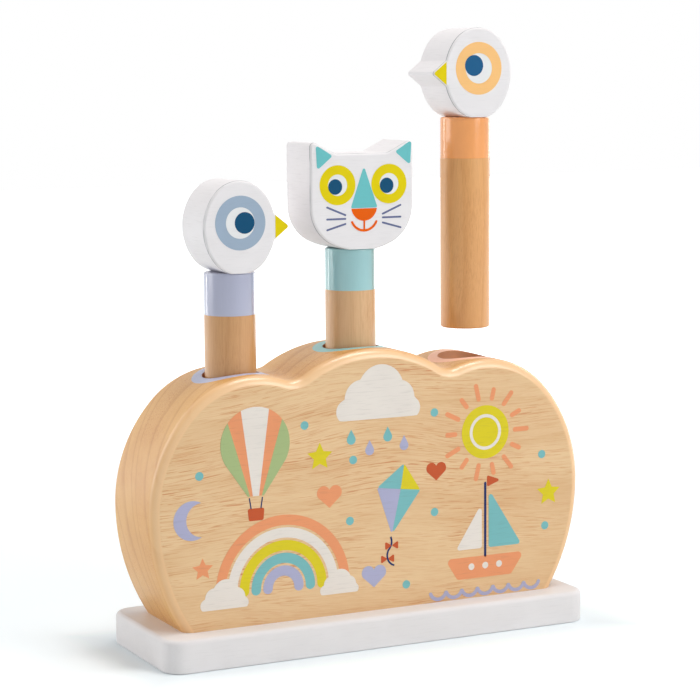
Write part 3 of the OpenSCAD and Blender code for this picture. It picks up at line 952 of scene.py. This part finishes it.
class Painting:
    """Thin shapes of paint on an upright face that looks towards -Y, gathered in one piece."""

    def __init__(self, name, face_y, origin=(0, 0), flip=1):
        self.name, self.face_y, self.origin, self.flip = name, face_y, origin, flip
        self.points, self.faces, self.marks, self.paints = [], [], [], []

    def paint_number(self, paint):
        if paint not in self.paints:
            self.paints.append(paint)
        return self.paints.index(paint)

    def depths(self, layer):
        """Outer and inner Y of a layer's shapes."""
        reach = PAINT_T + LAYER_T * layer
        return self.face_y - reach, self.face_y + reach

    def place(self, points, y):
        return [(self.origin[0] + self.flip * x, y, self.origin[1] + z) for x, z in points]

    def add(self, shape, paint, layer=0):
        """A filled shape. A higher layer lies over a lower one."""
        if area(shape) * self.flip < 0:
            shape = list(reversed(shape))
        n, first = len(shape), len(self.points)
        outer, inner = self.depths(layer)
        self.points += self.place(shape, outer) + self.place(shape, inner)
        self.faces.append([first + i for i in range(n)])
        self.faces.append([first + n + i for i in range(n - 1, -1, -1)])
        for i in range(n):
            j = (i + 1) % n
            self.faces.append([first + j, first + i, first + n + i, first + n + j])
        self.marks += [self.paint_number(paint)] * (n + 2)

    def add_ring(self, centre, outer_r, inner_r, paint, layer=0):
        """A filled ring."""
        n = 64
        outer, inner = disc(centre, outer_r, n), disc(centre, inner_r, n)
        if self.flip < 0:
            outer, inner = list(reversed(outer)), list(reversed(inner))
        y_out, y_in = self.depths(layer)
        first = len(self.points)
        for shape, y in ((outer, y_out), (inner, y_out), (inner, y_in), (outer, y_in)):
            self.points += self.place(shape, y)
        for k in range(4):
            for i in range(n):
                j = (i + 1) % n
                a, b = first + k * n, first + (k + 1) % 4 * n
                self.faces.append([a + i, a + j, b + j, b + i])
        self.marks += [self.paint_number(paint)] * (4 * n)

    def done(self, body, slot):
        materials = [MATERIALS[p] for p in self.paints]
        flat = set(range(len(self.faces)))
        piece = new_piece(self.name, self.points, self.faces, materials, self.marks, flat)
        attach(piece, body)


# ---------------------------------------------------------------- faces on the heads

BIRD_EYE_Z = 24.1
BIRD_IRIS_R, BIRD_EYE_WHITE_R, BIRD_PUPIL_R = 13, 7.5, 5.15
BEAK_PAINT_X = 18.2
CAT_EYE_X, CAT_EYE_Z = 14, 31.5
CAT_IRIS_R, CAT_EYE_WHITE_R, CAT_PUPIL_R = 9.65, 5.2, 3.75
CAT_NOSE_X = 0.85


def face_painting(side, node, flip=1):
    """Paint for a head's front; its origin is the middle of the seat on the peg."""
    return Painting("face_" + side, node_box(node)[0].y, (PEG_X[side], PEG_TOP[side]), flip)


def paint_bird(side, node, iris, pupil, look_x, look_z, flip):
    """Eye and beak of a bird; its pupil lies look_x and look_z off the eye's middle."""
    face = face_painting(side, node, flip)
    face.add_ring((0, BIRD_EYE_Z), BIRD_IRIS_R, BIRD_EYE_WHITE_R, iris)
    face.add(disc((0, BIRD_EYE_Z), BIRD_EYE_WHITE_R - PAINT_GAP), "eye_white")
    face.add(disc((look_x, BIRD_EYE_Z + look_z), BIRD_PUPIL_R), pupil, 1)
    face.add([p for p in bird_outline(0.5) if p[0] > BEAK_PAINT_X], "beak_yellow")
    face.done(BODY_OF_PEG[side], "white_paint")


def paint_cat():
    face = face_painting("middle", "head_middle_cat")
    for s in (1, -1):
        eye = (s * CAT_EYE_X + 0.5, CAT_EYE_Z)
        face.add_ring(eye, CAT_IRIS_R, CAT_EYE_WHITE_R, "cat_yellow")
        face.add(disc(eye, CAT_EYE_WHITE_R - PAINT_GAP), "eye_white")
        face.add(disc((eye[0] - 1.3, eye[1] - 0.8), CAT_PUPIL_R), "pupil_blue", 1)
        dx, dz = (1.0, 1.4) if s > 0 else (0.9, 0)
        ear = [(s * 26.0 + dx, 51.1 + dz), (s * 16.9 + dx, 45.7 + dz), (s * 25.3 + dx, 38.9 + dz)]
        face.add(soft_polygon(ear if s > 0 else ear[::-1], 0.9), "cat_teal")
        for inner_z, outer_z in ((16.9, 20.9), (15.1, 15.1), (12.6, 9.9)):
            face.add(line((s * 10.2 + 0.8, inner_z), (s * 20.0 + 0.8, outer_z), 0.9), "whisker_slate")
    x = CAT_NOSE_X
    face.add(soft_polygon([(x - 7.3, 20.1), (x + 7.3, 20.1), (x, 40.6)], 0.7), "cat_teal")
    face.add(arc((x, 20.8), 7.0, 188, 352, steps=24, last=True), "cat_orange", 1)
    face.add(line((x, 14.6), (x, 9.9), 0.9), "cat_orange", 2)
    face.add(bow((x, 16.4), 7.3, 205, 335, 1.15), "cat_orange", 1)
    face.done(BODY_OF_PEG["middle"], "white_paint")


# ---------------------------------------------------------------- print on the block

def print_rainbow(art):
    for i, paint in enumerate(("coral", "cream", "yellow", "aqua", "lavender")):
        art.add(bow((0, 0), 33 - 6.2 * i, 0, 180, 5), paint)
    art.add(cloud(-31, -2, 25), "cream", 1)
    art.add(cloud(30, -2, 21), "cream", 1)


def print_balloon(art):
    middle, r = (0, 0), 18
    art.add(arc(middle, r, -28, 208, steps=48, last=True) + [(-4.2, -25), (4.2, -25)], "coral")
    art.add(arc(middle, r, 66, 114, steps=12, last=True) + [(-1.6, -25), (1.6, -25)], "cream", 1)
    for s in (1, -1):
        side = arc(middle, r, 90 - s * 52, 90 - s * 90, steps=10, last=True)
        lower = arc(middle, r, 90 - s * 90, 90 - s * 118, steps=8, last=True)
        art.add(side + lower[1:] + [(s * 4.2, -25), (s * 3.1, -25)], "sage", 1)
        art.add(line((s * 3.4, -26), (s * 2.6, -31), 0.6), "navy")
    art.add(soft_polygon([(-3.8, -37), (3.8, -37), (4.4, -31), (-4.4, -31)], 1), "rust")


def print_rain_cloud(art):
    art.add(cloud(0, 0, 46), "cream")
    for i, (x, z) in enumerate(((-15, -19), (-5, -25), (5, -19), (14, -24))):
        art.add(drop(x, z, 2.4), ("aqua", "lavender")[i % 2])


def print_sun(art):
    art.add(disc((0, 0), 13.5), "yellow")
    art.add_ring((0, 0), 9, 7.4, "cream", 1)
    for i in range(14):
        a = 360 * i / 14
        art.add(line(at((0, 0), 17.2, a), at((0, 0), 21.6 if i % 2 else 24, a), 2.4), "coral")


def print_boat(art):
    art.add(soft_polygon([(-16, -8), (15, -8), (23, 3), (-23, 3)], 2), "coral")
    art.add(line((0, 3), (0, 40), 1.3), "navy")
    art.add(soft_polygon([(2, 7), (21, 7), (2, 37)], 1.2), "aqua")
    art.add(soft_polygon([(-17, 7), (-2, 7), (-2, 30)], 1.2), "cream")
    art.add(soft_polygon([(1, 38), (9, 41), (1, 44)], 0.7), "rust")
    for x in (-8, 0, 8):
        art.add(disc((x, -2), 1.7), "cream", 1)
    for k in range(7):
        art.add(bow((9 * k - 27, -12), 4.6, 200, 340, 1.8, 14), "lavender", 1 + 0.2 * (k % 2))


def print_kite(art):
    top, right, low, left, mid = (16, 88), (25, 74), (9, 53), (1, 77), (14, 75.3)
    for corners, paint in (((top, left, mid), "aqua"), ((left, low, mid), "lavender"),
                           ((low, right, mid), "aqua"), ((right, top, mid), "yellow")):
        art.add(soft_polygon(corners, 0.5), paint)
    art.add(bow((3.5, 49.5), 5.4, 30, -40, 0.9, 16), "navy")
    art.add(bow((11.8, 42.6), 5.4, 140, 250, 0.9, 16), "navy")
    for x, z in ((8.9, 47.5), (6.6, 41.0)):
        for s in (1, -1):
            wing = [(x, z), (x + s * 3.6, z - s * 2.2), (x + s * 3.6, z + s * 2.2)]
            art.add(soft_polygon(wing, 0.5), "rust", 1)


def print_small(art):
    """Stars, hearts, dots and a moon between the large pictures."""
    art.add(crescent(-97, 70, 9.5), "lavender")
    for shape, x, z, size, paint in (
            (star, -30, 95, 7, "yellow"), (star, 99, 66, 7, "yellow"), (star, -92, 46, 5.5, "coral"),
            (heart, -25, 77, 12, "coral"), (heart, 34, 84, 10, "rust"),
            (heart, -1, 35, 12, "lavender")):
        art.add(shape(x, z, size), paint)
    for dot in ((-38, 111), (33, 112), (-93, 91), (95, 86), (33, 62), (-14, 62), (97, 49), (17, 27),
                (-12, 92)):
        art.add(disc(dot, 2.1), "aqua")


# Each picture's maker, and where on the block's front its own middle lies
PRINTS = {"rainbow": (print_rainbow, -50, 33), "balloon": (print_balloon, -64, 104),
          "rain_cloud": (print_rain_cloud, 2, 121), "sun": (print_sun, 62, 100),
          "boat": (print_boat, 62, 34), "kite": (print_kite, 0, 0), "small": (print_small, 0, 0)}


def print_block():
    for name, (draw, x, z) in PRINTS.items():
        art = Painting("print_" + name, FRONT_Y, (x, z))
        draw(art)
        art.done("root", "block_wood")


# ---------------------------------------------------------------- stage

FRAME_PX = 700
FOCAL_PX = 2254.7
SENSOR_MM = 36
CAMERA_AZIMUTH = -26.456
CAMERA_ELEVATION = 7.206
CAMERA_ROLL = -0.382
CAMERA_DISTANCE = 1118.9
CAMERA_TARGET = (-0.376, 0, 142.341)

WORLD_LIGHT = 0.34
COOL = (0.96, 0.98, 1.0, 1)
WARM = (1.0, 0.985, 0.965)
PURE_WHITE = (1, 1, 1, 1)

# Soft boxes: place, target and size in metres, and power in watts
LAMPS = {
    "right_box": ((1.0, -1.55, 1.0), (0, 0, 0.12), (0.9, 1.2), 16.9),
    "left_box": ((-1.6, 0.75, 0.7), (0, 0, 0.15), (0.9, 1.2), 8.9),
    "left_rim": ((-0.9, 1.25, 0.7), (0, 0, 0.18), (0.14, 1.4), 5),
    "top_box": ((0.35, -0.12, 1.5), (0, 0, 0.1), (0.5, 0.7), 9.5),
    "right_rim": ((1.5, 0.9, 0.5), (0, 0, 0.12), (0.25, 1.2), 2.5),
}

# The floor: its half width and colour, and, in metres, where it brightens to white
FLOOR_HALF = 4000
FLOOR_TONE = (0.86, 0.92, 0.95, 1)
NEAR_LIFT = 0.18
NEAR_REACH = 0.03
FAR_START, FAR_END = 0.25, 1.0


def make_camera():
    a, e, r = (math.radians(v) for v in (CAMERA_AZIMUTH, CAMERA_ELEVATION, CAMERA_ROLL))
    back = Vector((math.sin(a) * math.cos(e), -math.cos(a) * math.cos(e), math.sin(e)))
    right = Vector((math.cos(a), math.sin(a), 0))
    up = back.cross(right)
    right, up = right * math.cos(r) + up * math.sin(r), up * math.cos(r) - right * math.sin(r)
    place = (Vector(CAMERA_TARGET) + back * CAMERA_DISTANCE) * MM
    data = bpy.data.cameras.new("camera")
    data.sensor_width = SENSOR_MM
    data.lens = SENSOR_MM * FOCAL_PX / FRAME_PX
    camera = new_object("camera", data)
    camera.matrix_world = Matrix.Translation(place) @ Matrix((right, up, back)).transposed().to_4x4()
    bpy.context.scene.camera = camera


def make_lamp(name, place, target, size, watts):
    data = bpy.data.lights.new(name, "AREA")
    data.shape = "RECTANGLE"
    data.size, data.size_y = size
    data.energy = watts
    data.color = WARM
    lamp = new_object(name, data)
    lamp.location = place
    lamp.rotation_euler = (Vector(target) - Vector(place)).to_track_quat("-Z", "Y").to_euler()


def seen_directly(net):
    """1 for rays from the camera and for what metal and glass mirror, 0 for light on the object."""
    rays = net.node("ShaderNodeLightPath", {}).outputs
    seen = net.plus(rays["Is Camera Ray"], rays["Is Glossy Ray"])
    return net.plus(seen, rays["Is Transmission Ray"], clamp=True)


def make_world():
    """A plain white studio that gives the object a soft, slightly cool light."""
    world = bpy.data.worlds.new("studio")
    bpy.context.scene.world = world
    world.use_nodes = True
    world.node_tree.nodes.clear()
    net = Net(world.node_tree)
    seen = seen_directly(net)
    strength = net.plus(net.times(seen, 1 - WORLD_LIGHT), WORLD_LIGHT)
    color = net.mix(seen, COOL, PURE_WHITE)
    sky = net.add("ShaderNodeBackground", {"Color": color, "Strength": strength})
    net.node("ShaderNodeOutputWorld", {"Surface": sky})


def make_floor():
    """A pale floor that comes out white where no shadow falls."""
    material, net = new_material("floor")
    x, y, z = net.parts(net.coordinates("Object"))
    out_x = net.minus(net.math("ABSOLUTE", x), BASE_HIGH.x * MM)
    out_y = net.minus(net.math("ABSOLUTE", y), BASE_HIGH.y * MM)
    near = net.span(net.math("MAXIMUM", out_x, out_y), 0.0, NEAR_REACH, 0.0, NEAR_LIFT)
    lift = net.math("MAXIMUM", near, net.span(net.distance(x, y), FAR_START, FAR_END))
    shader = net.add("ShaderNodeBsdfPrincipled", {
        "Base Color": FLOOR_TONE, "Roughness": 0.6, "Emission Color": PURE_WHITE,
        "Emission Strength": net.times(seen_directly(net), lift), "Specular IOR Level": 0.2})
    net.node("ShaderNodeOutputMaterial", {"Surface": shader})
    h = FLOOR_HALF
    corners = [(-h, -h, 0), (h, -h, 0), (h, h, 0), (-h, h, 0)]
    new_piece("floor", corners, [[0, 1, 2, 3]], [material])


# ---------------------------------------------------------------- assembly

make_camera()
make_world()
make_floor()
for lamp_name, lamp_values in LAMPS.items():
    make_lamp(lamp_name, *lamp_values)
bpy.context.scene.view_settings.view_transform = "Standard"

make_block()
make_base()
for peg_side in SIDES:
    make_peg(peg_side)
    make_spring(peg_side)
make_head("left", "head_left_bird", bird_outline, 1)
make_head("middle", "head_middle_cat", cat_outline, 1)
make_head("right", "head_right_bird", bird_outline, -1)
paint_bird("left", "head_left_bird", "iris_blue_grey", "pupil_blue", 2.2, 0, 1)
paint_bird("right", "head_right_bird", "iris_peach", "pupil_bright", 2.7, 1.4, -1)
paint_cat()
print_block()
dress_fasteners()
